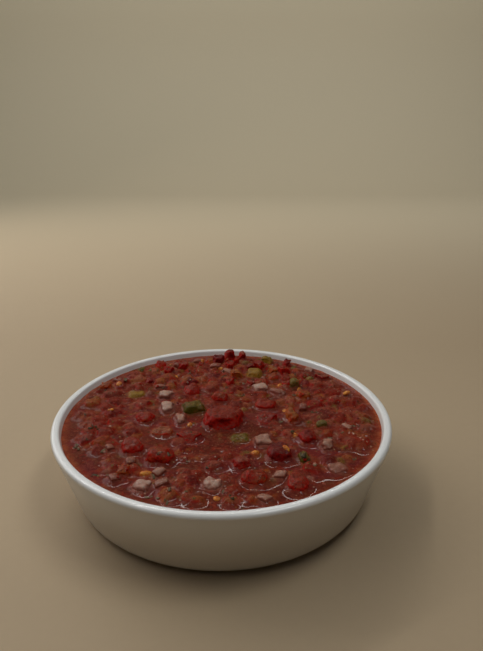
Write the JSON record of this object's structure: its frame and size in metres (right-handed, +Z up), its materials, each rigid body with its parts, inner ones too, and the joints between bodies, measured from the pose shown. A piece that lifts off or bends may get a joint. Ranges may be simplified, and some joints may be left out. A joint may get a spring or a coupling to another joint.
{
  "type": "garden salsa in a bowl",
  "caption": "Round white ceramic bowl with leaning sides, filled to just under its rim with chunky tomato salsa that shows pieces of tomato, onion and green pepper.",
  "frame": {"origin": "middle of the foot ring, on the surface that the bowl stands on", "axes": "+Z up along the bowl's axis, +Y away from the side that the picture shows, +X to its right"},
  "size_m": [0.1498, 0.1498, 0.0382],
  "materials": {
    "bowl_glaze": "gloss",
    "sauce": "gloss",
    "tomato": "gloss",
    "pepper": "gloss",
    "onion": "gloss"
  },
  "bodies": {
    "root": {"bowl": "bowl_glaze", "salsa": "sauce", "tomato_middle": "tomato", "tomato_dark": "tomato", "tomato_left_front": "tomato", "tomato_left_pale": "tomato", "tomato_front": "tomato", "tomato_front_right": "tomato", "tomato_pink": "tomato", "tomato_right": "tomato", "tomato_brown_right": "tomato", "tomato_behind_right": "tomato", "tomato_orange_right": "tomato", "tomato_orange_back": "tomato", "tomato_tall_back": "tomato", "tomato_left_middle": "tomato", "tomato_brown_left": "tomato", "tomato_behind_left": "tomato", "tomato_behind": "tomato", "pepper_green": "pepper", "pepper_pale": "pepper", "pepper_yellow_back": "pepper", "pepper_back": "pepper", "pepper_yellow_left": "pepper", "onion_middle": "onion", "onion_right": "onion", "onion_front": "onion", "onion_white": "onion", "onion_grey": "onion", "onion_left_back": "onion", "onion_left": "onion", "onion_strip": "onion", "onion_left_front": "onion", "onion_clear_right": "onion"}
  },
  "joints": []
}
